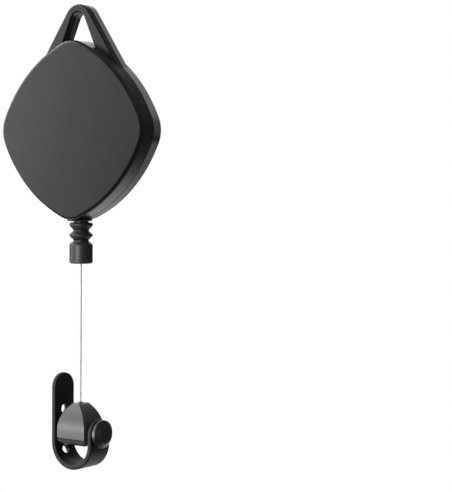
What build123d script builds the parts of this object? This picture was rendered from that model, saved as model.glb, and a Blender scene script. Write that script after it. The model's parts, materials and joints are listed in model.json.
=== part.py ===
from build123d import *
import math
import os

# Retractable hanging line reel, in millimetres.
# +Z is up, the front face looks towards -Y, and the line runs down the Z axis.
# The origin is the centre of the round seat in the hanging eye, where a hook's bar lies.

# Housing, with heights counted from the reel's spindle axis
SPINDLE_Z = -35.6
HALF_WIDTH = 30.0
HALF_HEIGHT = 29.25
CORNER_RADIUS = 10.3
SIDE_RADIUS = 47.3
FRONT_FACE = -5.95
REAR_FACE = 4.5
FACE_THICKNESS = 1.4
WALL = 1.5
FACE_ROUNDING = 1.0
SEAM_BEVEL = 0.17
LIP_INSET = 0.8
LIP_GAP = 0.1
LIP_HEIGHT = 0.7

# Hanging eye
EYE_SEAT_RADIUS = 3.0
EYE_OUTER_RADIUS = 5.55
EYE_INNER_LEAN = 24.3
EYE_OUTER_LEAN = 34.4
EYE_FRONT = -2.2
EYE_REAR = 3.0
EYE_ROUNDING = 0.45
EYE_FOOT = 18.0

# Outlet at the housing's bottom, with heights counted from the spindle axis
OUTLET_RADIUS = 4.12
OUTLET_BEVEL = 0.3
OUTLET_OFFSET = -0.7
OUTLET_BOTTOM = -29.7
OUTLET_SEAT_TOP = -25.6
OUTLET_SEAT_RADIUS = 3.0
BUSH_RADIUS = 1.9
BUSH_FLANGE_RADIUS = 2.6
BUSH_TOP = -25.0
BUSH_BOTTOM = -28.3
BUSH_BORE = 0.45
BUSH_FLARE = 3.0
BUSH_FLARE_START = -27.6
ROOT_TOP = -28.4
ROOT_BOTTOM = -29.15
ROOT_RADIUS = 3.05
NECK_RADIUS = 2.45

# Buffer and collar under the outlet
RING_RADIUS = 4.07
RING_TOP = -30.2
UPPER_RING = -30.9
UPPER_NECK = -32.8
LOWER_RING = -34.3
LOWER_NECK = -36.05
RIDGE_ROUNDING = 0.6
BUFFER_BORE = 0.8
TAIL_RADIUS = 2.53
TAIL_BOTTOM = -41.05
COLLAR_RADIUS = 3.84
COLLAR_SHOULDER = -37.4
COLLAR_BOTTOM = -43.65
COLLAR_BEVEL = 0.35
SHOULDER_ROUNDING = 0.5
COLLAR_SOCKET = 2.5
COLLAR_MOUTH = 1.2

# Line
LINE_RADIUS = 0.25
LINE_BEND = 3.0
LINE_BEND_HEIGHT = -26.0
WOUND_INNER = 16.35
WOUND_LAYERS = 3
WOUND_TURNS = 5

# Case screws, with places counted from the spindle axis
SCREW_SPOTS = [(0, 24.2), (-24.9, 0), (24.9, 0), (-8.9, -21.8), (8.9, -21.8)]
SCREW_PILLAR = 2.4
SCREW_SHANK = 0.9
SCREW_PILOT = 0.85
SCREW_CLEARANCE = 1.15
SCREW_HEAD = 1.85
SCREW_SEAT = 3.4
SCREW_TIP = -3.4

# Spindle, spool and power spring: depths are along Y, radii are about the spindle axis
POST_PAD_FACE = 2.9
POST_PAD_RADIUS = 4.5
POST_STUB = 1.92
POST_SOCKET = 1.9
POST_JOURNAL = 2.0
POST_ARBOR = 2.7
POST_FRONT = -3.3
JOURNAL_BORE = 2.05
SPOOL_WEB_REAR = 2.45
SPOOL_WEB_FRONT = 1.75
SPOOL_FRONT = -3.2
CHAMBER_FRONT = -2.6
CHAMBER_RADIUS = 15.2
DRUM_RADIUS = 16.3
FLANGE_RADIUS = 19.6
GROOVE_HALF_WIDTH = 1.3
FLANGE_THICKNESS = 0.8
COVER_RADIUS = 15.7
SPRING_FRONT = -2.4
SPRING_REAR = 1.6
SPRING_STRIP = 0.2
SPRING_OUTER = 14.8
PACKED_TURNS = 9
PACKED_PITCH = 0.42
OPEN_TURNS = 3
OPEN_PITCH = 2.3

# Clip, with heights counted from its cross pin axis
PIN_Z = SPINDLE_Z - 99.5
BELL_TOP = 9.5
BELL_BOTTOM = -4.3
BELL_WIDEST = 0.5
BELL_TOP_HALF_WIDTH = 1.7
BELL_HALF_WIDTH = 6.3
BELL_TOP_HALF_DEPTH = 2.5
BELL_HALF_DEPTH = 5.1
BELL_CORNER = 2.2
BELL_BELLY = 2.6
BELL_BEVEL = 0.5
FLARE_SECTIONS = 5
BELLY_SECTIONS = 10
SHOULDER_RADIUS = 2.6
SHOULDER_FACE = 6.75
CRIMP_SLEEVE = 0.75
CRIMP_BORE = 0.8
CRIMP_HEAD = 1.45
CRIMP_POCKET = 1.55
CRIMP_STAND = 0.45
POCKET_TOP = 4.5

# Strap and its fastenings
STRAP_INNER = 6.9
STRAP_THICKNESS = 1.65
STRAP_HALF_WIDTH = 4.75
STRAP_BEND_DROP = 3.65
STRAP_TAIL_RISE = 14.3
STRAP_EDGE = 0.28
STRAP_HOLE = 1.5
HOLE_PITCH = 7.0
PIN_RADIUS = 1.45
PEG_HEAD_RADIUS = 2.6
PEG_HEAD_END = 10.5
BUTTON_STEM = 1.42
BUTTON_SOCKET = 1.4
BUTTON_STEM_END = 2.6
BUTTON_RADIUS = 4.6
BUTTON_RIM = 1.15
BUTTON_FACE_RADIUS = 2.95
BUTTON_END = 11.0
SIDE_GAP = 0.15


def slab(outline, front, rear):
    """An outline drawn in X and height above the spindle axis, solid from Y = front to Y = rear."""
    plane = Plane((0, rear, SPINDLE_Z), x_dir=(1, 0, 0), z_dir=(0, -1, 0))
    return extrude(plane * outline, amount=rear - front)


def turned(outline, axis):
    """A closed outline of (radius, position) points turned about the X, Y or Z axis."""
    place = {
        "X": lambda r, p: (p, r, 0),
        "Y": lambda r, p: (r, p, 0),
        "Z": lambda r, p: (r, 0, p),
    }[axis]
    face = make_face(Polyline(*[place(r, p) for r, p in outline], close=True))
    return revolve(face, {"X": Axis.X, "Y": Axis.Y, "Z": Axis.Z}[axis], 360)


def on_spindle(outline):
    return Pos(0, 0, SPINDLE_Z) * turned(outline, "Y")


def on_line(outline):
    return Pos(0, 0, SPINDLE_Z) * turned(outline, "Z")


def on_pin(outline):
    return Pos(0, 0, PIN_Z) * turned(outline, "X")


def rod(radius, low, high):
    """A vertical rod on the line's axis between two heights above the spindle axis."""
    return on_line([(0, low), (radius, low), (radius, high), (0, high)])


def peg(radius, x, z, front, rear):
    """A round rod along Y at a place counted from the spindle axis."""
    return slab(Pos(x, z) * Circle(radius), front, rear)


def diamond(inset=0.0):
    """The housing's rounded diamond: four corner arcs joined by four flatter side arcs."""
    top = Vector(0, HALF_HEIGHT - CORNER_RADIUS)
    side = Vector(HALF_WIDTH - CORNER_RADIUS, 0)
    half = (side - top) * 0.5
    reach = SIDE_RADIUS - CORNER_RADIUS
    inward = Vector(half.Y, -half.X).normalized()
    centre = top + half + inward * math.sqrt(reach**2 - half.length**2)
    radius = SIDE_RADIUS - inset
    upper = centre + (top - centre).normalized() * radius
    lower = centre + (side - centre).normalized() * radius
    middle = centre - inward * radius
    high = HALF_HEIGHT - inset
    wide = HALF_WIDTH - inset
    edges = [
        ThreePointArc((-upper.X, upper.Y), (0, high), (upper.X, upper.Y)),
        ThreePointArc((upper.X, upper.Y), (middle.X, middle.Y), (lower.X, lower.Y)),
        ThreePointArc((lower.X, lower.Y), (wide, 0), (lower.X, -lower.Y)),
        ThreePointArc((lower.X, -lower.Y), (middle.X, -middle.Y), (upper.X, -upper.Y)),
        ThreePointArc((upper.X, -upper.Y), (0, -high), (-upper.X, -upper.Y)),
        ThreePointArc((-upper.X, -upper.Y), (-middle.X, -middle.Y), (-lower.X, -lower.Y)),
        ThreePointArc((-lower.X, -lower.Y), (-wide, 0), (-lower.X, lower.Y)),
        ThreePointArc((-lower.X, lower.Y), (-middle.X, middle.Y), (-upper.X, upper.Y)),
    ]
    return make_face(Curve() + edges)


def arch(radius, lean, foot):
    """A round-topped triangle with its arc centred on the eye, its legs leaning out to a foot height."""
    eye = -SPINDLE_Z
    angle = math.radians(lean)
    x = radius * math.cos(angle)
    z = eye + radius * math.sin(angle)
    foot_x = x + (z - foot) * math.tan(angle)
    arc = ThreePointArc((-x, z), (0, eye + radius), (x, z))
    legs = Polyline((x, z), (foot_x, foot), (-foot_x, foot), (-x, z))
    return make_face(Curve() + [arc, legs])


def edges_at(solid, depth):
    return solid.edges().filter_by_position(Axis.Y, depth - 0.01, depth + 0.01)


def case_half(face, seam):
    """One half of the outer form: its face is rounded, and its rim is bevelled at the seam."""
    front, rear = sorted((face, seam))
    half = slab(diamond(), front, rear)
    half = fillet(edges_at(half, face), FACE_ROUNDING)
    return chamfer(edges_at(half, seam), SEAM_BEVEL)


def eye_half(face, seam):
    """One half of the hanging eye, with its feet still inside the housing."""
    front, rear = sorted((face, seam))
    ring = arch(EYE_OUTER_RADIUS, EYE_OUTER_LEAN, EYE_FOOT)
    ring -= arch(EYE_SEAT_RADIUS, EYE_INNER_LEAN, EYE_FOOT + 2)
    half = slab(ring, front, rear)
    half = fillet(edges_at(half, face).filter_by_position(Axis.Z, -14, 10), EYE_ROUNDING)
    return chamfer(edges_at(half, seam).filter_by_position(Axis.Z, -14, 10), SEAM_BEVEL)


def outlet_form():
    """The neck under the housing and the bush seat above it, before they are bored."""
    neck = Pos(0, OUTLET_OFFSET, 0) * rod(OUTLET_RADIUS, BUSH_TOP - 1, OUTLET_BOTTOM)
    neck = chamfer(neck.edges().sort_by(Axis.Z)[0], OUTLET_BEVEL)
    return neck + rod(OUTLET_SEAT_RADIUS, OUTLET_SEAT_TOP, ROOT_TOP)


def outlet_bores():
    bore = rod(BUSH_RADIUS, OUTLET_BOTTOM - 1, OUTLET_SEAT_TOP + 1)
    bore += rod(NECK_RADIUS + LIP_GAP, OUTLET_BOTTOM - 1, ROOT_BOTTOM + 0.1)
    return bore + rod(ROOT_RADIUS + 0.05, ROOT_BOTTOM - 0.05, ROOT_TOP + 0.05)


def front_shell():
    inside = FRONT_FACE + FACE_THICKNESS
    keep = slab(Rectangle(200, 200), FRONT_FACE, 0)
    shell = case_half(FRONT_FACE, 0) + eye_half(EYE_FRONT, 0)
    shell += outlet_form() & keep
    shell -= slab(diamond(WALL), inside, 0)
    for x, z in SCREW_SPOTS:
        shell += peg(SCREW_PILLAR, x, z, inside, -SEAM_BEVEL) & slab(diamond(WALL / 2), inside, 0)
        shell -= peg(SCREW_PILOT, x, z, SCREW_TIP - 0.3, 0)
    shell += outlet_form() & slab(diamond(WALL / 2), inside, 0)
    lip = diamond(LIP_INSET + LIP_GAP) - diamond(WALL)
    shell += slab(lip, -0.5, LIP_HEIGHT)
    return shell - outlet_bores()


def rear_shell():
    inside = REAR_FACE - FACE_THICKNESS
    keep = slab(Rectangle(200, 200), 0, REAR_FACE)
    shell = case_half(REAR_FACE, 0) + eye_half(EYE_REAR, 0)
    shell += outlet_form() & keep
    shell -= slab(diamond(WALL), 0, inside)
    shell += outlet_form() & slab(diamond(WALL / 2), 0, inside)
    for x, z in SCREW_SPOTS:
        shell += peg(SCREW_PILLAR, x, z, 0, inside) & slab(diamond(WALL / 2), 0, inside)
    shell -= slab(diamond(LIP_INSET) - diamond(WALL + 0.1), 0, LIP_HEIGHT + LIP_GAP)
    shell += peg(POST_PAD_RADIUS, 0, 0, POST_PAD_FACE, inside)
    shell -= peg(POST_SOCKET, 0, 0, POST_PAD_FACE, REAR_FACE - 0.5)
    for x, z in SCREW_SPOTS:
        shell -= peg(SCREW_CLEARANCE, x, z, 0, REAR_FACE)
        shell -= peg(SCREW_HEAD + 0.2, x, z, SCREW_SEAT, REAR_FACE)
    return shell - outlet_bores()


def cross_recess(x, z, mouth, depth):
    """A cross slot cut into a screw head from its outer face towards its tip."""
    front, rear = sorted((mouth, mouth + depth))
    slots = Rectangle(1.8, 0.45) + Rectangle(0.45, 1.8)
    return slab(Pos(x, z) * slots, front, rear)


def case_screws():
    head_end = SCREW_SEAT + 1.0
    screws = []
    for x, z in SCREW_SPOTS:
        head = peg(SCREW_HEAD, x, z, SCREW_SEAT, head_end)
        head = fillet(edges_at(head, head_end), 0.4)
        shank = peg(SCREW_SHANK, x, z, SCREW_TIP, SCREW_SEAT)
        shank = chamfer(edges_at(shank, SCREW_TIP), 0.4)
        screws.append(head + shank - cross_recess(x, z, head_end, -0.6))
    return Compound(children=screws)


def outlet_bush():
    centre = BUSH_BORE + BUSH_FLARE
    rise = BUSH_TOP - BUSH_FLARE_START
    mouth = centre - math.sqrt(BUSH_FLARE**2 - rise**2)
    mid_x = centre - math.sqrt(BUSH_FLARE**2 - (rise / 2) ** 2)
    flare = ThreePointArc(
        (BUSH_BORE, 0, BUSH_FLARE_START),
        (mid_x, 0, BUSH_FLARE_START + rise / 2),
        (mouth, 0, BUSH_TOP),
    )
    body = Polyline(
        (mouth, 0, BUSH_TOP),
        (BUSH_FLANGE_RADIUS, 0, BUSH_TOP),
        (BUSH_FLANGE_RADIUS, 0, OUTLET_SEAT_TOP),
        (BUSH_RADIUS, 0, OUTLET_SEAT_TOP),
        (BUSH_RADIUS, 0, BUSH_BOTTOM),
        (BUSH_BORE, 0, BUSH_BOTTOM),
        (BUSH_BORE, 0, BUSH_FLARE_START),
    )
    return Pos(0, 0, SPINDLE_Z) * revolve(make_face(Curve() + [flare, body]), Axis.Z, 360)


def edges_round(solid, height):
    """The round edges of a turned solid at a height above the spindle axis."""
    level = SPINDLE_Z + height
    return solid.edges().filter_by_position(Axis.Z, level - 0.01, level + 0.01)


def buffer():
    """The rubber buffer: a root trapped in the outlet, two bellows rings and a tail for the collar."""
    outline = [
        (BUFFER_BORE, ROOT_TOP),
        (ROOT_RADIUS, ROOT_TOP),
        (ROOT_RADIUS, ROOT_BOTTOM),
        (NECK_RADIUS, ROOT_BOTTOM),
        (NECK_RADIUS, RING_TOP),
        (RING_RADIUS - 0.55, RING_TOP),
        (RING_RADIUS, UPPER_RING),
        (NECK_RADIUS, UPPER_NECK),
        (RING_RADIUS, LOWER_RING),
        (NECK_RADIUS, LOWER_NECK),
        (TAIL_RADIUS, LOWER_NECK - 0.3),
        (TAIL_RADIUS, TAIL_BOTTOM),
        (BUFFER_BORE, TAIL_BOTTOM),
    ]
    solid = on_line(outline)
    for height in (UPPER_RING, LOWER_RING):
        solid = fillet(edges_round(solid, height), RIDGE_ROUNDING)
    return solid


def collar():
    outline = [
        (COLLAR_SOCKET, LOWER_NECK - 0.35),
        (COLLAR_SOCKET + 0.25, LOWER_NECK - 0.35),
        (COLLAR_RADIUS, COLLAR_SHOULDER),
        (COLLAR_RADIUS, COLLAR_BOTTOM + COLLAR_BEVEL),
        (COLLAR_RADIUS - COLLAR_BEVEL, COLLAR_BOTTOM),
        (COLLAR_MOUTH, COLLAR_BOTTOM),
        (BUFFER_BORE, COLLAR_BOTTOM + 0.6),
        (BUFFER_BORE, TAIL_BOTTOM),
        (COLLAR_SOCKET, TAIL_BOTTOM),
    ]
    solid = on_line(outline)
    return fillet(edges_round(solid, COLLAR_SHOULDER), SHOULDER_ROUNDING)


def line_lead():
    """The line from beside the drum, round the bush's mouth and down to the collar's mouth."""
    drum = WOUND_INNER + WOUND_LAYERS * 2 * LINE_RADIUS - LINE_RADIUS
    lean = math.asin(drum / -LINE_BEND_HEIGHT)
    free = math.sqrt(LINE_BEND_HEIGHT**2 - drum**2) - 5.5
    start = Vector(free * math.sin(lean), 0, LINE_BEND_HEIGHT + free * math.cos(lean))
    bend = Vector(0, 0, LINE_BEND_HEIGHT)
    end = Vector(0, 0, COLLAR_BOTTOM)
    route = FilletPolyline(start, bend, end, radius=LINE_BEND)
    section = Plane(origin=start, z_dir=bend - start) * Circle(LINE_RADIUS)
    lead = sweep(section, route)
    print("line lead's volume over its section times length:", lead.volume / section.area / route.length)
    return Pos(0, 0, SPINDLE_Z) * lead


def axle_post():
    post = on_spindle([
        (0, POST_FRONT),
        (POST_JOURNAL, POST_FRONT),
        (POST_JOURNAL, CHAMBER_FRONT + 0.1),
        (POST_ARBOR, CHAMBER_FRONT + 0.1),
        (POST_ARBOR, SPOOL_WEB_FRONT - 0.1),
        (POST_JOURNAL, SPOOL_WEB_FRONT - 0.1),
        (POST_JOURNAL, POST_PAD_FACE),
        (POST_STUB, POST_PAD_FACE),
        (POST_STUB, REAR_FACE - 0.55),
        (0, REAR_FACE - 0.55),
    ])
    post -= peg(0.8, 0, 0, POST_FRONT, -0.3)
    slot = Pos(POST_ARBOR, 0) * Rectangle(3, 0.45)
    return post - slab(slot, CHAMBER_FRONT, SPRING_REAR)


def axle_screw():
    head_front = POST_FRONT - 1.1
    head = peg(1.9, 0, 0, head_front, POST_FRONT - 0.3)
    head = fillet(edges_at(head, head_front), 0.35)
    shank = peg(0.82, 0, 0, POST_FRONT - 0.3, -0.6)
    return head + shank - cross_recess(0, 0, head_front, 0.5)


def axle_washer():
    front = POST_FRONT - 0.3
    return on_spindle([(0.95, front), (3.6, front), (3.6, POST_FRONT), (0.95, POST_FRONT)])


def thrust_washer():
    front = SPOOL_WEB_REAR + 0.12
    rear = POST_PAD_FACE - 0.02
    return on_spindle([(2.1, front), (4.4, front), (4.4, rear), (2.1, rear)])


def spool():
    near = GROOVE_HALF_WIDTH
    far = GROOVE_HALF_WIDTH + FLANGE_THICKNESS
    drum = on_spindle([
        (JOURNAL_BORE, SPOOL_WEB_FRONT),
        (CHAMBER_RADIUS, SPOOL_WEB_FRONT),
        (CHAMBER_RADIUS, CHAMBER_FRONT),
        (COVER_RADIUS - 0.02, CHAMBER_FRONT),
        (COVER_RADIUS - 0.02, SPOOL_FRONT),
        (DRUM_RADIUS, SPOOL_FRONT),
        (DRUM_RADIUS, -far),
        (FLANGE_RADIUS, -far),
        (FLANGE_RADIUS, -near - 0.3),
        (DRUM_RADIUS, -near),
        (DRUM_RADIUS, near),
        (FLANGE_RADIUS, near + 0.3),
        (FLANGE_RADIUS, far),
        (DRUM_RADIUS, SPOOL_WEB_REAR),
        (JOURNAL_BORE, SPOOL_WEB_REAR),
    ])
    drum -= slab(Pos(CHAMBER_RADIUS, 0) * Rectangle(1.4, 0.35), CHAMBER_FRONT - 0.05, SPRING_REAR + 0.05)
    drum -= anchor_form(0.8, CHAMBER_RADIUS + 0.2)
    for angle in range(0, 360, 60):
        drum -= slab(Rot(0, 0, angle + 30) * Pos(9.2, 0) * Circle(2.6), SPOOL_WEB_FRONT, SPOOL_WEB_REAR)
    return drum


def anchor_form(radius, start):
    """A short radial plug in the drum wall, above the spindle."""
    wall = DRUM_RADIUS - start
    return Pos(0, 0, SPINDLE_Z + start + wall / 2) * Cylinder(radius, wall)


def line_anchor():
    return anchor_form(0.78, CHAMBER_RADIUS + 0.25)


def spool_cover():
    disc = on_spindle([
        (JOURNAL_BORE, SPOOL_FRONT),
        (COVER_RADIUS, SPOOL_FRONT),
        (COVER_RADIUS, CHAMBER_FRONT),
        (JOURNAL_BORE, CHAMBER_FRONT),
    ])
    for angle in range(0, 360, 120):
        disc -= slab(Rot(0, 0, angle + 90) * Pos(11.5, 0) * Circle(1.5), SPOOL_FRONT, CHAMBER_FRONT)
    return disc


def spiral(offset):
    """Half-circle arcs winding inwards, each a little smaller, moved out by an offset."""
    pitches = [PACKED_PITCH] * (2 * PACKED_TURNS) + [OPEN_PITCH] * (2 * OPEN_TURNS)
    arcs = []
    x = SPRING_OUTER
    side = 1
    for pitch in pitches:
        radius = x - pitch / 4
        centre = side * (x - radius)
        reach = radius + offset
        arcs.append(ThreePointArc(
            (centre + side * reach, 0), (centre, side * reach), (centre - side * reach, 0)
        ))
        x = radius - pitch / 4
        side = -side
    return arcs, side * x


def power_spring():
    outer, outer_end = spiral(SPRING_STRIP / 2)
    inner, inner_end = spiral(-SPRING_STRIP / 2)
    tab_end = CHAMBER_RADIUS + 0.6
    tab = Polyline(
        (SPRING_OUTER - SPRING_STRIP / 2, 0),
        (SPRING_OUTER - SPRING_STRIP / 2, -SPRING_STRIP),
        (tab_end, -SPRING_STRIP),
        (tab_end, 0),
        (SPRING_OUTER + SPRING_STRIP / 2, 0),
    )
    step = SPRING_STRIP / 2
    close = Line((outer_end + step, 0), (inner_end - step, 0))
    band = make_face(Curve() + outer + inner + [tab, close])
    return slab(band, SPRING_FRONT, SPRING_REAR)


def line_wound():
    """The line's turns on the drum, as one ring with a ridge for each outer turn."""
    thick = WOUND_LAYERS * 2 * LINE_RADIUS
    crown = WOUND_INNER + thick - LINE_RADIUS
    half = WOUND_TURNS * LINE_RADIUS
    ridges = []
    for turn in range(WOUND_TURNS):
        y = -half + 2 * LINE_RADIUS * turn
        ridges.append(ThreePointArc(
            (crown, y, 0), (crown + LINE_RADIUS, y + LINE_RADIUS, 0), (crown, y + 2 * LINE_RADIUS, 0)
        ))
    back = Polyline(
        (crown, half, 0),
        (WOUND_INNER, half - 0.1, 0),
        (WOUND_INNER, 0.1 - half, 0),
        (crown, -half, 0),
    )
    return Pos(0, 0, SPINDLE_Z) * revolve(make_face(Curve() + ridges + [back]), Axis.Y, 360)


def line():
    top = COLLAR_BOTTOM
    bottom = PIN_Z + BELL_TOP + CRIMP_STAND - SPINDLE_Z
    return rod(LINE_RADIUS, bottom, top)


def line_crimp():
    """The steel crimp on the line's end: a sleeve through the bell's top and a head in its pocket."""
    head_top = POCKET_TOP - 0.1
    outline = [
        (0, BELL_TOP + CRIMP_STAND),
        (CRIMP_SLEEVE - 0.2, BELL_TOP + CRIMP_STAND),
        (CRIMP_SLEEVE, BELL_TOP + CRIMP_STAND - 0.2),
        (CRIMP_SLEEVE, head_top),
        (CRIMP_HEAD, head_top),
        (CRIMP_HEAD, head_top - 2.0),
        (CRIMP_HEAD - 0.4, head_top - 2.4),
        (0, head_top - 2.4),
    ]
    return Pos(0, 0, PIN_Z) * turned(outline, "Z")


def bell_half_size(height, top, widest, corner):
    """Half the bell's width or depth: an arc flares to the widest height, and the bottom is rounded."""
    if height >= BELL_WIDEST:
        rise = BELL_TOP - BELL_WIDEST
        radius = ((widest - top) ** 2 + rise**2) / (2 * (widest - top))
        return widest - radius + math.sqrt(radius**2 - (height - BELL_WIDEST) ** 2)
    drop = max(BELL_BOTTOM + corner - height, 0)
    return widest - corner + math.sqrt(corner**2 - drop**2)


def bell_section(height):
    half_width = bell_half_size(height, BELL_TOP_HALF_WIDTH, BELL_HALF_WIDTH, BELL_CORNER)
    half_depth = bell_half_size(height, BELL_TOP_HALF_DEPTH, BELL_HALF_DEPTH, BELL_BELLY)
    outline = Rectangle(2 * half_width, 2 * half_depth)
    return Pos(0, 0, PIN_Z + height) * chamfer(outline.vertices(), BELL_BEVEL)


def bell():
    """The clip's flared body, lofted through bevelled rectangles that draw closer towards its bottom."""
    steps = [i / (FLARE_SECTIONS - 1) for i in range(FLARE_SECTIONS)]
    flare = loft([bell_section(BELL_TOP + (BELL_WIDEST - BELL_TOP) * t) for t in steps])
    turns = [math.pi / 2 * i / (BELLY_SECTIONS - 1) for i in range(BELLY_SECTIONS)]
    drop = BELL_WIDEST - BELL_BOTTOM
    belly = loft([bell_section(BELL_WIDEST - drop * math.sin(t)) for t in turns], ruled=True)
    return flare + belly


def clip_body():
    body = bell() + on_pin([
        (0, -SHOULDER_FACE),
        (SHOULDER_RADIUS, -SHOULDER_FACE),
        (SHOULDER_RADIUS, SHOULDER_FACE),
        (0, SHOULDER_FACE),
    ])
    neck = STRAP_INNER + STRAP_THICKNESS + SIDE_GAP
    body += on_pin([
        (0, -BELL_HALF_WIDTH + 1),
        (PIN_RADIUS, -BELL_HALF_WIDTH + 1),
        (PIN_RADIUS, -neck),
        (PEG_HEAD_RADIUS, -neck),
        (PEG_HEAD_RADIUS, -neck - 0.7),
        (PEG_HEAD_RADIUS - 0.9, -PEG_HEAD_END),
        (0, -PEG_HEAD_END),
    ])
    body -= Pos(0, 0, PIN_Z) * turned([
        (0, BELL_BOTTOM - 1),
        (CRIMP_POCKET, BELL_BOTTOM - 1),
        (CRIMP_POCKET, POCKET_TOP),
        (CRIMP_BORE, POCKET_TOP),
        (CRIMP_BORE, BELL_TOP + 1),
        (0, BELL_TOP + 1),
    ], "Z")
    socket = [(0, BUTTON_STEM_END), (BUTTON_SOCKET, BUTTON_STEM_END), (BUTTON_SOCKET, 8), (0, 8)]
    return body - on_pin(socket)


def strap_button():
    neck = STRAP_INNER + STRAP_THICKNESS + SIDE_GAP
    button = on_pin([
        (0, BUTTON_STEM_END + 0.2),
        (BUTTON_STEM - 0.3, BUTTON_STEM_END + 0.2),
        (BUTTON_STEM, BUTTON_STEM_END + 0.5),
        (BUTTON_STEM, SHOULDER_FACE),
        (PIN_RADIUS, SHOULDER_FACE),
        (PIN_RADIUS, neck),
        (BUTTON_RADIUS, neck),
        (BUTTON_RADIUS, neck + BUTTON_RIM),
        (BUTTON_FACE_RADIUS, BUTTON_END),
        (0, BUTTON_END),
    ])
    rims = button.edges().filter_by(GeomType.CIRCLE)
    rims = rims.filter_by_position(Axis.X, neck - 0.01, BUTTON_END)
    outer = rims.filter_by(lambda e: e.radius > BUTTON_FACE_RADIUS - 0.1)
    return fillet(outer, 0.18)


def strap():
    """The rubber strap: a flat tail, a round bend under the bell and a short leg to the button."""
    outer = STRAP_INNER + STRAP_THICKNESS
    middle = (STRAP_INNER + outer) / 2
    width = 2 * STRAP_HALF_WIDTH
    leg = Pos(0, -STRAP_BEND_DROP / 2) * Rectangle(width, STRAP_BEND_DROP)
    tail = Pos(0, STRAP_TAIL_RISE / 2) * Rectangle(width, STRAP_TAIL_RISE)
    tail += leg + Pos(0, STRAP_TAIL_RISE) * Circle(STRAP_HALF_WIDTH)
    short = leg + Circle(STRAP_HALF_WIDTH)
    half_ring = Circle(outer) - Circle(STRAP_INNER) - Pos(0, outer) * Rectangle(2 * outer, 2 * outer)
    tail_plane = Plane((-outer, 0, 0), x_dir=(0, 1, 0), z_dir=(1, 0, 0))
    short_plane = Plane((STRAP_INNER, 0, 0), x_dir=(0, 1, 0), z_dir=(1, 0, 0))
    band = extrude(tail_plane * tail, amount=STRAP_THICKNESS)
    band += extrude(short_plane * short, amount=STRAP_THICKNESS)
    bend = extrude(Plane.XZ * half_ring, amount=STRAP_HALF_WIDTH, both=True)
    band += Pos(0, 0, -STRAP_BEND_DROP) * bend
    rims = band.edges().filter_by(lambda e: abs(e.center().Y) > 1 or abs(e.center().Z) > STRAP_TAIL_RISE)
    band = fillet(rims, STRAP_EDGE)
    hole = Rot(0, 90, 0) * Cylinder(STRAP_HOLE, 8)
    for height in (0, HOLE_PITCH):
        band -= Pos(-middle, 0, height) * hole
    band -= Pos(middle, 0, 0) * hole
    swing = math.degrees((HOLE_PITCH - STRAP_BEND_DROP) / middle)
    band -= Pos(0, 0, -STRAP_BEND_DROP) * Rot(0, -swing, 0) * Pos(-middle, 0, 0) * hole
    return Pos(0, 0, PIN_Z) * band


NODES = {
    "front_shell": front_shell,
    "rear_shell": rear_shell,
    "case_screws": case_screws,
    "outlet_bush": outlet_bush,
    "buffer": buffer,
    "collar": collar,
    "axle_post": axle_post,
    "axle_screw": axle_screw,
    "axle_washer": axle_washer,
    "thrust_washer": thrust_washer,
    "line_lead": line_lead,
    "spool": spool,
    "spool_cover": spool_cover,
    "power_spring": power_spring,
    "line_wound": line_wound,
    "line_anchor": line_anchor,
    "line": line,
    "line_crimp": line_crimp,
    "clip_body": clip_body,
    "strap_button": strap_button,
    "strap": strap,
}

os.makedirs("parts", exist_ok=True)
for name, make in NODES.items():
    export_step(make(), f"parts/{name}.step")
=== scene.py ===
import json
import math

import bmesh
import bpy
from mathutils import Matrix, Vector


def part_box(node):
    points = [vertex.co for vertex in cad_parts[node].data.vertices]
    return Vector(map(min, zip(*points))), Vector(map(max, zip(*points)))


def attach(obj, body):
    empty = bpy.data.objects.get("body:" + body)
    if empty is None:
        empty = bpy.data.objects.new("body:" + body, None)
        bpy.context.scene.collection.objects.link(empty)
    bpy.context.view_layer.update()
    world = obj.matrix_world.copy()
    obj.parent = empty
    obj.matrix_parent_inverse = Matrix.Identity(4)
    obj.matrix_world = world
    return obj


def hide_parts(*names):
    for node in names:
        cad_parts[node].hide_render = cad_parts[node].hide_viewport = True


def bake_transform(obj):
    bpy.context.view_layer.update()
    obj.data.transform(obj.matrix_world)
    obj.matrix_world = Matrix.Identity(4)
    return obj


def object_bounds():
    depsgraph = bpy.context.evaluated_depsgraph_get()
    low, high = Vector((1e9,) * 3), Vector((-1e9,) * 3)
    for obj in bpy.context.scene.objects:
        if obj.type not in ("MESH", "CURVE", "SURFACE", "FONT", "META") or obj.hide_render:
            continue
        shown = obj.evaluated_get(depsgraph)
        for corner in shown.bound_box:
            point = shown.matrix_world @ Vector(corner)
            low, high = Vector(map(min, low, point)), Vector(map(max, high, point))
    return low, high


MM = 0.001

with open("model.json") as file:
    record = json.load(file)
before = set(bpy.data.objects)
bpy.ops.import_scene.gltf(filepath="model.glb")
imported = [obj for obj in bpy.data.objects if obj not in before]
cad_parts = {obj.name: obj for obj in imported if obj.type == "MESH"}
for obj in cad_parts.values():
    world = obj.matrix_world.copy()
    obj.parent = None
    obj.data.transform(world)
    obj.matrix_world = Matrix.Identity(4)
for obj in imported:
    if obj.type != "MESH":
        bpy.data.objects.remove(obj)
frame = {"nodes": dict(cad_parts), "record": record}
cad_low, cad_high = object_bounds()

# Places taken from the frame
LINE_LOW, LINE_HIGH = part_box("line")
BUFFER_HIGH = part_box("buffer")[1]
BUTTON_LOW, BUTTON_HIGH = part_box("strap_button")
STRAP_LOW, STRAP_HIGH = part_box("strap")
WOUND_LOW, WOUND_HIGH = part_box("line_wound")
PIN_Z = (BUTTON_LOW.z + BUTTON_HIGH.z) / 2
SPINDLE_Z = (WOUND_LOW.z + WOUND_HIGH.z) / 2

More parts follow.
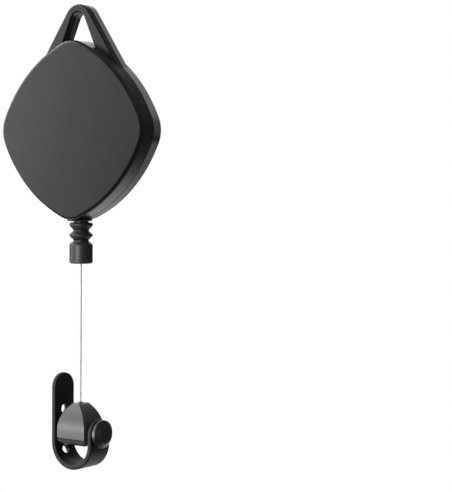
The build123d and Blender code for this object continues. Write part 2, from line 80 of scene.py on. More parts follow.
# Camera: metres from the object's origin, angles, and the lens for a 36 mm sensor
VIEW_AZIMUTH = math.radians(40)
VIEW_DISTANCE = 0.5089
VIEW_HEIGHT = -0.04872
VIEW_SIDESTEP = 0.00409
VIEW_PAN = math.radians(4.928)
VIEW_TILT = math.radians(2.764)
VIEW_ROLL = math.radians(0.44)
LENS = 112.52

# Floor: its drop under the object, its two greys (a painted pool of light near the object, painted shade
# further out), and the pool's centre, stretch and radii
FLOOR_DROP = 0.12
FLOOR_SIZE = 12.0
FLOOR_PAINTED_LIGHT = 0.66
FLOOR_PAINTED_SHADE = 0.055
FLOOR_MOTTLE = 0.2
LIGHT_POOL_CENTRE = (-0.1, 0.2, 0)
LIGHT_POOL_STRETCH = (1, 0.7, 0)
LIGHT_POOL_INNER = 0.1
LIGHT_POOL_OUTER = 0.26

# Lights: each softbox is (azimuth, elevation, distance, width, height, radiance), in degrees and metres
WORLD_DIM = 0.08
SUN_STRENGTH = 4.4
SUN_ANGLE = math.radians(90)
SOFTBOXES = {
    "key": (-63.3, 21, 1.2, 0.9, 1.33, 3.8),
    "rim": (-115, 30, 1.2, 0.3, 0.5, 4.0),
    "back": (206, 20, 1.2, 0.7, 0.55, 1.8),
    "rear_fill": (150, 12, 1.2, 1.2, 1.1, 0.55),
    "rear_top": (180, 40, 1.2, 1.2, 0.8, 1.0),
    "rear_low": (160, -26, 0.4, 0.35, 0.07, 1.4),
    "stem_strip": (2, 3, 0.9, 0.66, 0.6, 7.2),
    "clip_panel": (-42, -11, 0.5, 0.28, 0.11, 7.0),
    "button_panel": (-46, -9, 0.5, 0.2, 0.34, 13.0),
    "button_side": (92, -8, 0.5, 0.3, 0.3, 1.2),
}


# Camera

def add_camera():
    """A camera at the azimuth round the line's axis, panned right, tilted down and slightly rolled."""
    data = bpy.data.cameras.new("camera")
    data.lens = LENS
    data.clip_start = 0.01
    data.clip_end = 50
    camera = bpy.data.objects.new("camera", data)
    bpy.context.scene.collection.objects.link(camera)
    away = Vector((math.sin(VIEW_AZIMUTH), -math.cos(VIEW_AZIMUTH), 0))
    right = Vector((math.cos(VIEW_AZIMUTH), math.sin(VIEW_AZIMUTH), 0))
    camera.location = away * VIEW_DISTANCE + right * VIEW_SIDESTEP + Vector((0, 0, VIEW_HEIGHT))
    turn = Matrix.Rotation(VIEW_AZIMUTH - VIEW_PAN, 4, "Z")
    tilt = Matrix.Rotation(math.pi / 2 - VIEW_TILT, 4, "X")
    roll = Matrix.Rotation(VIEW_ROLL, 4, "Z")
    camera.rotation_mode = "QUATERNION"
    camera.rotation_quaternion = (turn @ tilt @ roll).to_quaternion()
    bpy.context.scene.camera = camera


add_camera()


# Mesh helpers

WIRE_SIDES = 8
WIRE_CREASE = 60
RUBBER_CREASE = 40
X_AXIS = Vector((1, 0, 0))
Y_AXIS = Vector((0, 1, 0))


def new_piece(name, verts, faces, crease):
    """A mesh object from points and faces, shaded smooth up to the given crease angle."""
    mesh = bpy.data.meshes.new(name)
    mesh.from_pydata(verts, [], faces)
    mesh.validate()
    mesh.update()
    piece = bpy.data.objects.new(name, mesh)
    bpy.context.scene.collection.objects.link(piece)
    smooth_up_to(piece, crease)
    return piece


def smooth_up_to(piece, crease):
    """Smooth shading, with edges steeper than the angle kept sharp."""
    mesh = piece.data
    bm = bmesh.new()
    bm.from_mesh(mesh)
    bmesh.ops.recalc_face_normals(bm, faces=bm.faces)
    limit = math.radians(crease)
    for edge in bm.edges:
        edge.smooth = len(edge.link_faces) != 2 or edge.calc_face_angle(0) < limit
    for face in bm.faces:
        face.smooth = True
    bm.to_mesh(mesh)
    bm.free()


def ring(centre, radius, first, second):
    """A loop of points round a centre, in the plane of two unit vectors."""
    turns = [2 * math.pi * k / WIRE_SIDES for k in range(WIRE_SIDES)]
    return [centre + radius * (first * math.cos(turn) + second * math.sin(turn)) for turn in turns]


def tube_grid(loops, closed=False):
    """Points and faces that join equal loops in a row, closed on itself or capped at both ends."""
    count = len(loops[0])
    verts = [p for loop in loops for p in loop]
    faces = []
    for i in range(len(loops) if closed else len(loops) - 1):
        a = i * count
        b = ((i + 1) % len(loops)) * count
        for j in range(count):
            k = (j + 1) % count
            faces.append((a + j, a + k, b + k, b + j))
    if not closed:
        faces.append(tuple(range(count)))
        faces.append(tuple(reversed(range((len(loops) - 1) * count, len(loops) * count))))
    return verts, faces


# Line

STRANDS = 6
LAY_LENGTH = 3.2 * MM
RINGS_PER_LAY = 18
ROUTE_SAMPLES = 32


def line_route():
    """The line's route as a smooth curve from the collar's mouth to the crimp."""
    points = [
        (0, 0, LINE_HIGH.z),
        (0, 0, (LINE_HIGH.z + LINE_LOW.z) / 2),
        (0, 0, LINE_LOW.z),
    ]
    curve = bpy.data.curves.new("line_route", "CURVE")
    curve.dimensions = "3D"
    curve.resolution_u = ROUTE_SAMPLES
    spline = curve.splines.new("NURBS")
    spline.points.add(len(points) - 1)
    for point, place in zip(spline.points, points):
        point.co = (*place, 1)
    spline.order_u = 3
    spline.use_endpoint_u = True
    route = bpy.data.objects.new("line_route", curve)
    bpy.context.scene.collection.objects.link(route)
    sampled = bpy.data.meshes.new_from_object(route)
    places = [v.co.copy() for v in sampled.vertices]
    bpy.data.objects.remove(route)
    return places


def strand_loops(top, bottom, radius, reach, phase):
    """Rings along one strand, which winds round the line's axis at the given reach."""
    length = (bottom - top).length
    rings = round(length / LAY_LENGTH * RINGS_PER_LAY)
    loops = []
    for i in range(rings + 1):
        along = i / rings
        turn = 2 * math.pi * (along * length / LAY_LENGTH + phase)
        outward = Vector((math.cos(turn), math.sin(turn), 0))
        loops.append(ring(top.lerp(bottom, along) + outward * reach, radius, X_AXIS, Y_AXIS))
    return loops


def make_line():
    """The steel line: a straight core with six strands laid round it, each a third of the line thick."""
    places = line_route()
    top, bottom = places[0], places[-1]
    strand = (LINE_HIGH.x - LINE_LOW.x) / 6
    verts, faces = [], []
    for s in range(STRANDS + 1):
        reach = 2 * strand if s < STRANDS else 0
        some_verts, some_faces = tube_grid(strand_loops(top, bottom, strand, reach, s / STRANDS))
        faces += [tuple(len(verts) + v for v in face) for face in some_faces]
        verts += some_verts
    line = new_piece("line_strands", verts, faces, WIRE_CREASE)
    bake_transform(line)
    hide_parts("line")
    return line


line_piece = make_line()


# Buffer: sizes in millimetres, heights from the top of its root

CORNER_STEPS = 6
TURNED_SIDES = 96
BUFFER_BORE = 0.8
ROOT_RADIUS = 3.05
ROOT_BOTTOM = -0.75
NECK_RADIUS = 2.45
RING_TOP = -1.8
RING_TOP_RADIUS = 3.52
UPPER_RIDGE = -2.5
UPPER_NECK = -4.4
LOWER_RIDGE = -5.9
LOWER_NECK = -7.65
RIDGE_ROUNDING = 0.6
RIDGE_CORNER = BUFFER_HIGH.x / MM + 0.175  # its rounding takes the rest off
TAIL_RADIUS = 2.53
TAIL_TOP = -7.95
TAIL_BOTTOM = -12.65
EDGE_ROUNDING = 0.1
UPPER_FILLET = 0.35
LOWER_FILLET = 0.3


def buffer_outline():
    """The buffer's section as (radius, height, rounding) corners."""
    return [
        (BUFFER_BORE, 0, 0),
        (ROOT_RADIUS, 0, EDGE_ROUNDING),
        (ROOT_RADIUS, ROOT_BOTTOM, EDGE_ROUNDING),
        (NECK_RADIUS, ROOT_BOTTOM, EDGE_ROUNDING),
        (NECK_RADIUS, RING_TOP, EDGE_ROUNDING),
        (RING_TOP_RADIUS, RING_TOP, 2 * EDGE_ROUNDING),
        (RIDGE_CORNER, UPPER_RIDGE, RIDGE_ROUNDING),
        (NECK_RADIUS, UPPER_NECK, UPPER_FILLET),
        (RIDGE_CORNER, LOWER_RIDGE, RIDGE_ROUNDING),
        (NECK_RADIUS, LOWER_NECK, LOWER_FILLET),
        (TAIL_RADIUS, TAIL_TOP, 0),
        (TAIL_RADIUS, TAIL_BOTTOM, EDGE_ROUNDING),
        (BUFFER_BORE, TAIL_BOTTOM, EDGE_ROUNDING),
    ]


def rounded(corners):
    """A closed outline of (x, y, radius) corners, each corner turned into an arc of its radius."""
    outline = []
    for i, (x, y, radius) in enumerate(corners):
        corner = Vector((x, y))
        before = (Vector(corners[i - 1][:2]) - corner).normalized()
        after = (Vector(corners[(i + 1) % len(corners)][:2]) - corner).normalized()
        if radius == 0:
            outline.append(corner)
            continue
        half = before.angle(after) / 2
        centre = corner + (before + after).normalized() * radius / math.sin(half)
        first = corner + before * radius / math.tan(half) - centre
        last = corner + after * radius / math.tan(half) - centre
        sweep = first.angle_signed(last)
        for k in range(CORNER_STEPS + 1):
            turn = Matrix.Rotation(-sweep * k / CORNER_STEPS, 2)
            outline.append(centre + turn @ first)
    return outline


def turned(outline):
    """Points and faces of a closed (radius, height) outline turned about the line's axis."""
    loops = []
    for i in range(TURNED_SIDES):
        angle = 2 * math.pi * i / TURNED_SIDES
        loops.append([(r * math.cos(angle), r * math.sin(angle), z) for r, z in outline])
    return tube_grid(loops, closed=True)


def make_buffer():
    """The rubber buffer with its two bellows rings, bored for the line."""
    outline = [(r * MM, BUFFER_HIGH.z + z * MM) for r, z in rounded(buffer_outline())]
    piece = new_piece("bellows_buffer", *turned(outline), RUBBER_CREASE)
    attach(piece, "housing")
    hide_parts("buffer")
    return piece


# Strap: flat, u runs along it from the left end of its bend, v across it and w through it

STRAP_THICKNESS = 1.65 * MM
STRAP_EDGE = 0.3 * MM
STRAP_HOLE = 1.5 * MM
HOLE_PITCH = 7 * MM
STRAP_CELL = 0.8 * MM
HALF_LANES = 6
ARC_STEPS = 40
BEVEL_STEPS = 3
SEAM_GAP = 0.001 * MM
SLIVER = 0.01 * MM
CUT_REACH = 0.0001 * MM
BEND_RADIUS = STRAP_HIGH.x - STRAP_THICKNESS / 2
BEND_LENGTH = math.pi * BEND_RADIUS
BEND_Z = STRAP_LOW.z + STRAP_HIGH.x
PIN_RISE = PIN_Z - BEND_Z
TAIL_END = STRAP_HIGH.y + BEND_Z - STRAP_HIGH.z
SHORT_END = BEND_LENGTH + PIN_RISE


def flat_curve(outlines, thickness, edge):
    """A flat plate of the given outlines, holes included, with rounded edges, as a mesh."""
    curve = bpy.data.curves.new("plate", "CURVE")
    curve.dimensions = "2D"
    curve.fill_mode = "BOTH"
    curve.extrude = thickness / 2 - edge
    curve.bevel_depth = edge
    curve.bevel_resolution = BEVEL_STEPS
    for outline in outlines:
        spline = curve.splines.new("POLY")
        spline.points.add(len(outline) - 1)
        for point, (u, v) in zip(spline.points, outline):
            point.co = (u, v, 0, 1)
        spline.use_cyclic_u = True
    plate = bpy.data.objects.new("plate", curve)
    bpy.context.scene.collection.objects.link(plate)
    mesh = bpy.data.meshes.new_from_object(plate)
    bpy.data.objects.remove(plate)
    return mesh


def arc(centre, radius, start, sweep):
    """Points of an arc in the plate's plane, by angles in half turns."""
    return [
        (
            centre + radius * math.cos(math.pi * (start + sweep * k / ARC_STEPS)),
            radius * math.sin(math.pi * (start + sweep * k / ARC_STEPS)),
        )
        for k in range(ARC_STEPS)
    ]


def strap_outlines():
    """The flat strap's rim and its four holes, drawn inside its rounded edges."""
    rim = STRAP_HIGH.y - STRAP_EDGE
    outlines = [arc(TAIL_END, rim, 0.5, 1) + arc(SHORT_END, rim, -0.5, 1)]
    for centre in (-PIN_RISE - HOLE_PITCH, -PIN_RISE, -PIN_RISE + HOLE_PITCH, SHORT_END):
        outlines.append(arc(centre, STRAP_HOLE + STRAP_EDGE, 0, 2))
    return outlines


def cut_across(bm, place, normal):
    """New edges where a plane crosses the mesh."""
    geometry = bm.verts[:] + bm.edges[:] + bm.faces[:]
    bmesh.ops.bisect_plane(bm, geom=geometry, dist=CUT_REACH, plane_co=place, plane_no=normal)


def cut_into_cells(bm):
    """Edges across and along the flat strap, so that it bends evenly."""
    cells = round((SHORT_END - TAIL_END) / STRAP_CELL)
    for i in range(1, cells):
        cut_across(bm, (TAIL_END + (SHORT_END - TAIL_END) * i / cells, 0, 0), (1, 0, 0))
    for i in range(1 - HALF_LANES, HALF_LANES):
        cut_across(bm, (0, STRAP_HIGH.y * i / HALF_LANES, 0), (0, 1, 0))
    bmesh.ops.remove_doubles(bm, verts=bm.verts, dist=SLIVER)
    bmesh.ops.dissolve_degenerate(bm, dist=SEAM_GAP, edges=bm.edges)


def bent(u, v, w):
    """Where a point of the flat strap lies once the strap is a U under the clip."""
    reach = BEND_RADIUS + w
    turn = min(max(u / BEND_RADIUS, 0), math.pi)
    rise = max(-u, 0) + max(u - BEND_LENGTH, 0)
    return (-reach * math.cos(turn), v, BEND_Z - reach * math.sin(turn) + rise)


def make_strap():
    """The rubber strap: a flat band with round ends and holes, bent round under the clip."""
    mesh = flat_curve(strap_outlines(), STRAP_THICKNESS, STRAP_EDGE)
    bm = bmesh.new()
    bm.from_mesh(mesh)
    bmesh.ops.remove_doubles(bm, verts=bm.verts, dist=SEAM_GAP)
    cut_into_cells(bm)
    for vert in bm.verts:
        vert.co = bent(*vert.co)
    bm.to_mesh(mesh)
    bm.free()
    piece = bpy.data.objects.new("strap_band", mesh)
    bpy.context.scene.collection.objects.link(piece)
    smooth_up_to(piece, RUBBER_CREASE)
    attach(piece, "strap")
    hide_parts("strap")
    return piece


# Line on the spool

WOUND_LAYERS = 3
WOUND_TURNS = 5
RINGS_PER_TURN = 72


def make_wound_line():
    """The turns of line on the drum, laid side by side in layers that run back and forth."""
    radius = LINE_HIGH.x
    edge = WOUND_HIGH.y - radius
    first = WOUND_HIGH.x - radius - (WOUND_LAYERS - 1) * 2 * radius
    count = WOUND_LAYERS * WOUND_TURNS * RINGS_PER_TURN
    loops = []
    for i in range(count + 1):
        turns = i / RINGS_PER_TURN
        layer = min(int(turns / WOUND_TURNS), WOUND_LAYERS - 1)
        across = turns / WOUND_TURNS - layer
        side = 1 if layer % 2 else -1
        y = side * edge * (1 - 2 * across)
        reach = first + 2 * radius * layer
        angle = 2 * math.pi * turns
        outward = Vector((math.cos(angle), 0, math.sin(angle)))
        centre = Vector((0, y, SPINDLE_Z)) + outward * reach
        loops.append(ring(centre, radius, outward, Y_AXIS))
    piece = new_piece("wound_line", *tube_grid(loops), WIRE_CREASE)
    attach(piece, "spool")
    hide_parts("line_wound")
    return piece


# Materials

COLOUR_A, COLOUR_B, COLOUR_MIX = 6, 7, 2  # the places of a Mix node's colour sockets
ONE_RING = 0.314  # the wave scale at which its rings are one unit apart
RING_WANDER = 1.5
NOISE_LOW, NOISE_HIGH = 0.3, 0.7  # where nearly all of a noise lies
EDGE_FLAT, EDGE_SHARP = 0.995, 0.85  # cosines between a face and its bevelled normal
EDGE_SAMPLES = 4


class Surface:
    """A material of one shader, with helpers for the noises, masks and bumps that give it detail."""

    def __init__(self, name, colour, roughness, **sockets):
        self.material = bpy.data.materials.new(name)
        self.material.use_nodes = True
        self.nodes = self.material.node_tree.nodes
        self.links = self.material.node_tree.links
        self.shader = self.nodes["Principled BSDF"]
        self.shader.inputs["Base Color"].default_value = (*colour, 1)
        self.shader.inputs["Roughness"].default_value = roughness
        for socket, value in sockets.items():
            self.shader.inputs[socket.replace("_", " ")].default_value = value
        self.place = self.nodes.new("ShaderNodeTexCoord").outputs["Object"]
        self.normal = None

    def mapped(self, scale, centre=(0, 0, 0)):
        """The object's own coordinates about a centre, scaled along each axis."""
        shift = self.nodes.new("ShaderNodeVectorMath")
        shift.operation = "SUBTRACT"
        shift.inputs[1].default_value = centre
        stretch = self.nodes.new("ShaderNodeVectorMath")
        stretch.operation = "MULTIPLY"
        stretch.inputs[1].default_value = scale
        self.links.new(self.place, shift.inputs[0])
        self.links.new(shift.outputs["Vector"], stretch.inputs[0])
        return stretch.outputs["Vector"]

    def noise(self, size, detail=2, distortion=0):
        """Noise whose lumps are about the given size, or sizes along X, Y and Z, in metres."""
        sizes = size if isinstance(size, tuple) else (size, size, size)
        node = self.nodes.new("ShaderNodeTexNoise")
        node.inputs["Scale"].default_value = 1
        node.inputs["Detail"].default_value = detail
        node.inputs["Distortion"].default_value = distortion
        self.links.new(self.mapped([1 / s for s in sizes]), node.inputs["Vector"])
        return node.outputs["Fac"]

    def cells(self, size):
        """Distance to the nearest of many scattered points, as for a stippled mould."""
        node = self.nodes.new("ShaderNodeTexVoronoi")
        node.inputs["Scale"].default_value = 1
        self.links.new(self.mapped([1 / size] * 3), node.inputs["Vector"])
        return node.outputs["Distance"]

    def rings(self, axis, centre, pitch):
        """Fine turning rings about an axis."""
        node = self.nodes.new("ShaderNodeTexWave")
        node.wave_type = "RINGS"
        node.rings_direction = axis
        node.inputs["Scale"].default_value = ONE_RING
        node.inputs["Distortion"].default_value = RING_WANDER
        node.inputs["Detail"].default_value = 1
        self.links.new(self.mapped([1 / pitch] * 3, centre), node.inputs["Vector"])
        return node.outputs["Fac"]

    def edges(self, radius):
        """A mask that is 1 on the object's sharp edges."""
        bevel = self.nodes.new("ShaderNodeBevel")
        bevel.samples = EDGE_SAMPLES
        bevel.inputs["Radius"].default_value = radius
        geometry = self.nodes.new("ShaderNodeNewGeometry")
        dot = self.nodes.new("ShaderNodeVectorMath")
        dot.operation = "DOT_PRODUCT"
        self.links.new(bevel.outputs["Normal"], dot.inputs[0])
        self.links.new(geometry.outputs["Normal"], dot.inputs[1])
        return self.ranged(dot.outputs["Value"], EDGE_FLAT, EDGE_SHARP, 0, 1)

    def patches(self, size, detail, low, high):
        """A mask that is 0 where a noise is below low and 1 where it is above high."""
        return self.ranged(self.noise(size, detail), low, high, 0, 1)

    def ranged(self, value, low, high, to_low, to_high):
        """A value stretched from one range to another, and held inside it."""
        node = self.nodes.new("ShaderNodeMapRange")
        for socket, number in zip(
            ("From Min", "From Max", "To Min", "To Max"), (low, high, to_low, to_high)
        ):
            node.inputs[socket].default_value = number
        self.links.new(value, node.inputs["Value"])
        return node.outputs["Result"]

    def shade(self, mask, other):
        """Blends the colour so far towards another one by a mask."""
        node = self.nodes.new("ShaderNodeMix")
        node.data_type = "RGBA"
        base = self.shader.inputs["Base Color"]
        if base.is_linked:
            self.links.new(base.links[0].from_socket, node.inputs[COLOUR_A])
        else:
            node.inputs[COLOUR_A].default_value = base.default_value
        node.inputs[COLOUR_B].default_value = (*other, 1)
        self.links.new(mask, node.inputs["Factor"])
        self.links.new(node.outputs[COLOUR_MIX], base)

    def gloss(self, mask, low, high):
        """Adds to the roughness between low and high as a noise goes from its lows to its highs."""
        socket = self.shader.inputs["Roughness"]
        node = self.nodes.new("ShaderNodeMath")
        node.operation = "ADD"
        if socket.is_linked:
            self.links.new(socket.links[0].from_socket, node.inputs[0])
        else:
            node.inputs[0].default_value = socket.default_value
        self.links.new(self.ranged(mask, NOISE_LOW, NOISE_HIGH, low, high), node.inputs[1])
        self.links.new(node.outputs["Value"], socket)

    def bump(self, height, depth):
        """Adds relief of the given depth, on top of the relief so far."""
        node = self.nodes.new("ShaderNodeBump")
        node.inputs["Distance"].default_value = depth
        self.links.new(height, node.inputs["Height"])
        if self.normal:
            self.links.new(self.normal, node.inputs["Normal"])
        self.normal = node.outputs["Normal"]
        self.links.new(self.normal, self.shader.inputs["Normal"])


def shell_material():
    """Polished black plastic: faint moulding flow, hairline rubs, and paler edges that are partly rubbed
    wear and partly a painted edge highlight.
    """
    surface = Surface("polished_black_plastic", (0.0095, 0.0097, 0.0101), 0.3)
    surface.gloss(surface.noise(9 * MM, 3), -0.02, 0.03)
    surface.gloss(surface.noise((0.15 * MM, 2 * MM, 3 * MM), 2), -0.01, 0.02)
    surface.shade(surface.noise(14 * MM), (0.012, 0.012, 0.0125))
    # paler edges: partly rubbed wear, partly a painted edge highlight
    surface.shade(surface.edges(0.25 * MM), (0.03, 0.03, 0.031))
    surface.bump(surface.noise((0.2 * MM, 1 * MM, 5 * MM), 2), 0.0006 * MM)
    surface.bump(surface.noise(6 * MM, 1), 0.004 * MM)
    return surface.material


def clip_material():
    """Satin black nylon with a fine spark-eroded grain."""
    coat = {"Specular_IOR_Level": 0.6, "Coat_Weight": 0.5, "Coat_Roughness": 0.33}
    surface = Surface("satin_nylon", (0.022, 0.022, 0.023), 0.37, **coat)
    surface.gloss(surface.noise(3 * MM, 3), -0.03, 0.04)
    surface.shade(surface.noise(2.5 * MM, 3), (0.026, 0.026, 0.027))
    surface.shade(surface.edges(0.3 * MM), (0.07, 0.07, 0.072))
    surface.bump(surface.noise(0.22 * MM, 3), 0.006 * MM)
    return surface.material


def collar_material():
    """Black plastic with a stippled moulding texture."""
    surface = Surface("stippled_black_plastic", (0.016, 0.016, 0.0165), 0.42)
    surface.gloss(surface.noise(1.5 * MM, 2), -0.03, 0.05)
    surface.shade(surface.edges(0.3 * MM), (0.04, 0.04, 0.041))
    surface.bump(surface.cells(0.3 * MM), 0.008 * MM)
    surface.bump(surface.noise(0.9 * MM, 2), 0.008 * MM)
    return surface.material


def buffer_material():
    """Soft black rubber, a little dusty in scattered patches."""
    surface = Surface("soft_black_rubber", (0.013, 0.013, 0.0135), 0.42)
    surface.gloss(surface.noise(1.2 * MM, 3), -0.04, 0.07)
    surface.shade(surface.patches(0.7 * MM, 4, 0.5, 0.75), (0.02, 0.02, 0.02))
    surface.bump(surface.noise(0.16 * MM, 3), 0.006 * MM)
    surface.bump(surface.noise((4 * MM, 4 * MM, 0.35 * MM), 1), 0.004 * MM)
    return surface.material


def strap_material():
    """Matte black silicone rubber, with a fine grain and paler edges that are partly worn and partly a
    painted edge highlight.
    """
    surface = Surface("matte_silicone", (0.0025, 0.0025, 0.0026), 0.54, Specular_IOR_Level=0.45)
    surface.gloss(surface.noise(1.6 * MM, 3), -0.05, 0.07)
    surface.shade(surface.patches(1.1 * MM, 4, 0.5, 0.8), (0.008, 0.008, 0.0082))
    # paler edges: partly wear, partly a painted edge highlight
    surface.shade(surface.edges(0.35 * MM), (0.016, 0.016, 0.016))
    surface.bump(surface.noise(0.2 * MM, 3), 0.008 * MM)
    surface.bump(surface.noise(1.8 * MM, 2), 0.01 * MM)
    return surface.material


def button_material():
    """Satin black plastic with faint turning rings left by its mould."""
    surface = Surface("satin_black_plastic", (0.009, 0.009, 0.0093), 0.33)
    surface.gloss(surface.noise(1.5 * MM, 2), -0.03, 0.04)
    surface.shade(surface.edges(0.25 * MM), (0.045, 0.045, 0.046))
    surface.bump(surface.rings("X", (0, 0, PIN_Z), 0.3 * MM), 0.0015 * MM)
    surface.bump(surface.noise(0.25 * MM, 2), 0.003 * MM)
    return surface.material


def line_material():
    """Bright drawn stainless wire, a little duller along some strands."""
    surface = Surface("drawn_stainless", (0.6, 0.6, 0.58), 0.36, Metallic=1)
    surface.gloss(surface.noise((0.1 * MM, 0.1 * MM, 1.2 * MM), 2), -0.06, 0.1)
    surface.shade(surface.patches(0.8 * MM, 3, 0.45, 0.7), (0.5, 0.5, 0.49))
    surface.bump(surface.noise((0.03 * MM, 0.03 * MM, 0.8 * MM), 2), 0.001 * MM)
    return surface.material


def screw_material():
    """Zinc plating: cloudy, with bright rubbed edges."""
    surface = Surface("zinc_plate", (0.45, 0.45, 0.46), 0.34, Metallic=1)
    surface.gloss(surface.noise(0.7 * MM, 4), -0.06, 0.1)
    surface.shade(surface.noise(1.3 * MM, 3), (0.52, 0.5, 0.44))
    surface.shade(surface.edges(0.12 * MM), (0.72, 0.72, 0.72))
    surface.bump(surface.noise(0.15 * MM, 3), 0.003 * MM)
    return surface.material


def spring_material():
    """Blued spring steel, straw and blue in bands, with rolling lines along the strip."""
    surface = Surface("blued_spring_steel", (0.2, 0.23, 0.3), 0.3, Metallic=1)
    surface.gloss(surface.noise(2 * MM, 3), -0.05, 0.1)
    surface.shade(surface.patches(5 * MM, 2, 0.4, 0.65), (0.34, 0.3, 0.24))
    surface.shade(surface.edges(0.08 * MM), (0.55, 0.55, 0.56))
    surface.bump(surface.noise((3 * MM, 0.06 * MM, 3 * MM), 2), 0.002 * MM)
    return surface.material


def milky(weight):
    """Sockets for a white plastic that lets light a millimetre in."""
    return {"Subsurface_Weight": weight, "Subsurface_Scale": 1 * MM}


def spool_material():
    """Natural acetal: milky, with faint flow marks out from its hub."""
    surface = Surface("natural_acetal", (0.8, 0.79, 0.74), 0.38, **milky(0.15))
    surface.gloss(surface.noise(4 * MM, 3), -0.04, 0.06)
    surface.shade(surface.noise(7 * MM, 4, 1), (0.74, 0.73, 0.67))
    surface.shade(surface.edges(0.2 * MM), (0.88, 0.87, 0.84))
    surface.bump(surface.rings("Y", (0, 0, SPINDLE_Z), 0.6 * MM), 0.002 * MM)
    return surface.material


def brass_material():
    """Turned brass with fine tool rings and a slight tarnish."""
    surface = Surface("turned_brass", (0.72, 0.53, 0.25), 0.26, Metallic=1)
    surface.gloss(surface.noise(1.5 * MM, 3), -0.04, 0.12)
    surface.shade(surface.patches(1.2 * MM, 4, 0.5, 0.75), (0.5, 0.35, 0.16))
    surface.shade(surface.edges(0.12 * MM), (0.85, 0.68, 0.38))
    surface.bump(surface.rings("Y", (0, 0, SPINDLE_Z), 0.2 * MM), 0.003 * MM)
    return surface.material


def washer_material():
    """Natural nylon with a faint moulding haze."""
    surface = Surface("natural_nylon", (0.75, 0.73, 0.66), 0.42, **milky(0.2))
    surface.gloss(surface.noise(1 * MM, 3), -0.05, 0.07)
    surface.shade(surface.noise(2 * MM, 3), (0.68, 0.66, 0.58))
    surface.bump(surface.noise(0.2 * MM, 2), 0.004 * MM)
    return surface.material


def bush_material():
    """Polished white acetal, greyed a little where the line runs."""
    surface = Surface("polished_acetal", (0.84, 0.84, 0.81), 0.18)
    surface.gloss(surface.noise(0.8 * MM, 2), -0.03, 0.08)
    surface.shade(surface.patches((0.5 * MM, 0.5 * MM, 3 * MM), 3, 0.5, 0.8), (0.6, 0.6, 0.58))
    surface.bump(surface.noise(0.4 * MM, 2), 0.001 * MM)
    return surface.material


MATERIALS = {
    "shell": shell_material,
    "clip_plastic": clip_material,
    "collar_plastic": collar_material,
    "buffer_rubber": buffer_material,
    "strap_rubber": strap_material,
    "button_plastic": button_material,
    "line_steel": line_material,
    "screw_steel": screw_material,
    "spring_steel": spring_material,
    "spool_acetal": spool_material,
    "post_brass": brass_material,
    "washer_nylon": washer_material,
    "bush_ceramic": bush_material,
}


def dress(pieces):
    """Gives every CAD node and new piece the material of its slot."""
    finishes = {slot: make() for slot, make in MATERIALS.items()}
    for part in frame["record"]["subparts"]:
        node = frame["nodes"][part["node"]]
        node.data.materials.clear()
        node.data.materials.append(finishes[part["material_slot"]])
    for piece, slot in pieces.items():
        piece.data.materials.clear()
        piece.data.materials.append(finishes[slot])


# Stage and light

def floor_material():
    """A painted pool of light near the object, and painted shade further out."""
    paint = Surface("floor_painted_light_pool", (FLOOR_PAINTED_LIGHT,) * 3, 0.9)
    paint.gloss(paint.noise(FLOOR_MOTTLE, 2), -0.02, 0.02)
    reach = paint.nodes.new("ShaderNodeVectorMath")
    reach.operation = "LENGTH"
    paint.links.new(paint.mapped(LIGHT_POOL_STRETCH, LIGHT_POOL_CENTRE), reach.inputs[0])
    # the pale pool is painted light and the dark beyond it is painted shade, for the sun lights the
    # floor evenly
    painted_falloff = paint.ranged(reach.outputs["Value"], LIGHT_POOL_INNER, LIGHT_POOL_OUTER, 0, 1)
    paint.shade(painted_falloff, (FLOOR_PAINTED_SHADE,) * 3)
    return paint.material


def add_floor():
    """A floor that lights the object from below, unseen by the camera and casting no shadow."""
    half = FLOOR_SIZE / 2
    z = cad_low.z - FLOOR_DROP
    verts = [(-half, -half, z), (half, -half, z), (half, half, z), (-half, half, z)]
    mesh = bpy.data.meshes.new("floor")
    mesh.from_pydata(verts, [], [(0, 1, 2, 3)])
    floor = bpy.data.objects.new("floor", mesh)
    bpy.context.scene.collection.objects.link(floor)
    mesh.materials.append(floor_material())
    floor.visible_camera = False
    floor.visible_shadow = False


def add_sun():
    """Even light from straight above, left out of the reflections."""
    data = bpy.data.lights.new("overhead", "SUN")
    data.energy = SUN_STRENGTH
    data.angle = SUN_ANGLE
    sun = bpy.data.objects.new("overhead", data)
    sun.visible_glossy = False
    bpy.context.scene.collection.objects.link(sun)


def add_softbox(name, azimuth, elevation, distance, width, height, radiance):
    """A rectangular light facing the object, placed by azimuth and elevation as seen from it."""
    a, e = math.radians(azimuth), math.radians(elevation)
    away = Vector((math.sin(a) * math.cos(e), -math.cos(a) * math.cos(e), math.sin(e)))
    centre = (cad_low + cad_high) / 2
    data = bpy.data.lights.new(name, "AREA")
    data.shape = "RECTANGLE"
    data.size = width
    data.size_y = height
    data.energy = radiance * math.pi * width * height
    light = bpy.data.objects.new(name, data)
    light.location = centre + away * distance
    light.rotation_mode = "QUATERNION"
    light.rotation_quaternion = away.to_track_quat("Z", "Y")
    light.visible_camera = False
    bpy.context.scene.collection.objects.link(light)
    return light


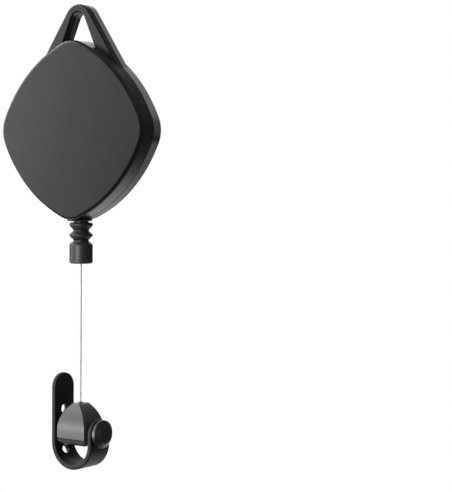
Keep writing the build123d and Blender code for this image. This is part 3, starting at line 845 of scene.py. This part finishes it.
def light_only(light, parts):
    """Makes a light fall on the given parts alone."""
    lit = bpy.data.collections.new(light.name + "_lit")
    for part in parts:
        lit.objects.link(part)
    light.light_linking.receiver_collection = lit


def add_softboxes(lit):
    """All softboxes, each falling on the parts listed for it, or on everything."""
    for name, softbox in SOFTBOXES.items():
        light = add_softbox(name, *softbox)
        if name in lit:
            light_only(light, lit[name])


def add_world():
    """A dim room for the reflections, seen as plain white by the camera."""
    world = bpy.data.worlds.new("studio")
    world.use_nodes = True
    nodes = world.node_tree.nodes
    links = world.node_tree.links
    nodes.clear()
    out = nodes.new("ShaderNodeOutputWorld")
    mix = nodes.new("ShaderNodeMixShader")
    rays = nodes.new("ShaderNodeLightPath")
    dim = nodes.new("ShaderNodeBackground")
    dim.inputs["Color"].default_value = (1, 1, 1, 1)
    dim.inputs["Strength"].default_value = WORLD_DIM
    white = nodes.new("ShaderNodeBackground")
    white.inputs["Color"].default_value = (1, 1, 1, 1)
    white.inputs["Strength"].default_value = 1.0
    links.new(rays.outputs["Is Camera Ray"], mix.inputs["Fac"])
    links.new(dim.outputs["Background"], mix.inputs[1])
    links.new(white.outputs["Background"], mix.inputs[2])
    links.new(mix.outputs["Shader"], out.inputs["Surface"])
    bpy.context.scene.world = world
    bpy.context.scene.view_settings.view_transform = "Standard"


buffer_piece = make_buffer()
strap_piece = make_strap()
wound_piece = make_wound_line()
dress({
    line_piece: "line_steel",
    buffer_piece: "buffer_rubber",
    strap_piece: "strap_rubber",
    wound_piece: "line_steel",
})

cad_nodes = frame["nodes"]
rear_parts = [cad_nodes["rear_shell"], cad_nodes["case_screws"]]
clip_parts = [strap_piece, cad_nodes["clip_body"]]
button_parts = [cad_nodes["strap_button"]]

add_floor()
add_sun()
add_softboxes({
    "rear_fill": rear_parts,
    "rear_top": rear_parts,
    "rear_low": rear_parts,
    "stem_strip": [buffer_piece, line_piece, cad_nodes["collar"]],
    "clip_panel": clip_parts,
    "button_panel": button_parts,
    "button_side": button_parts,
})
add_world()
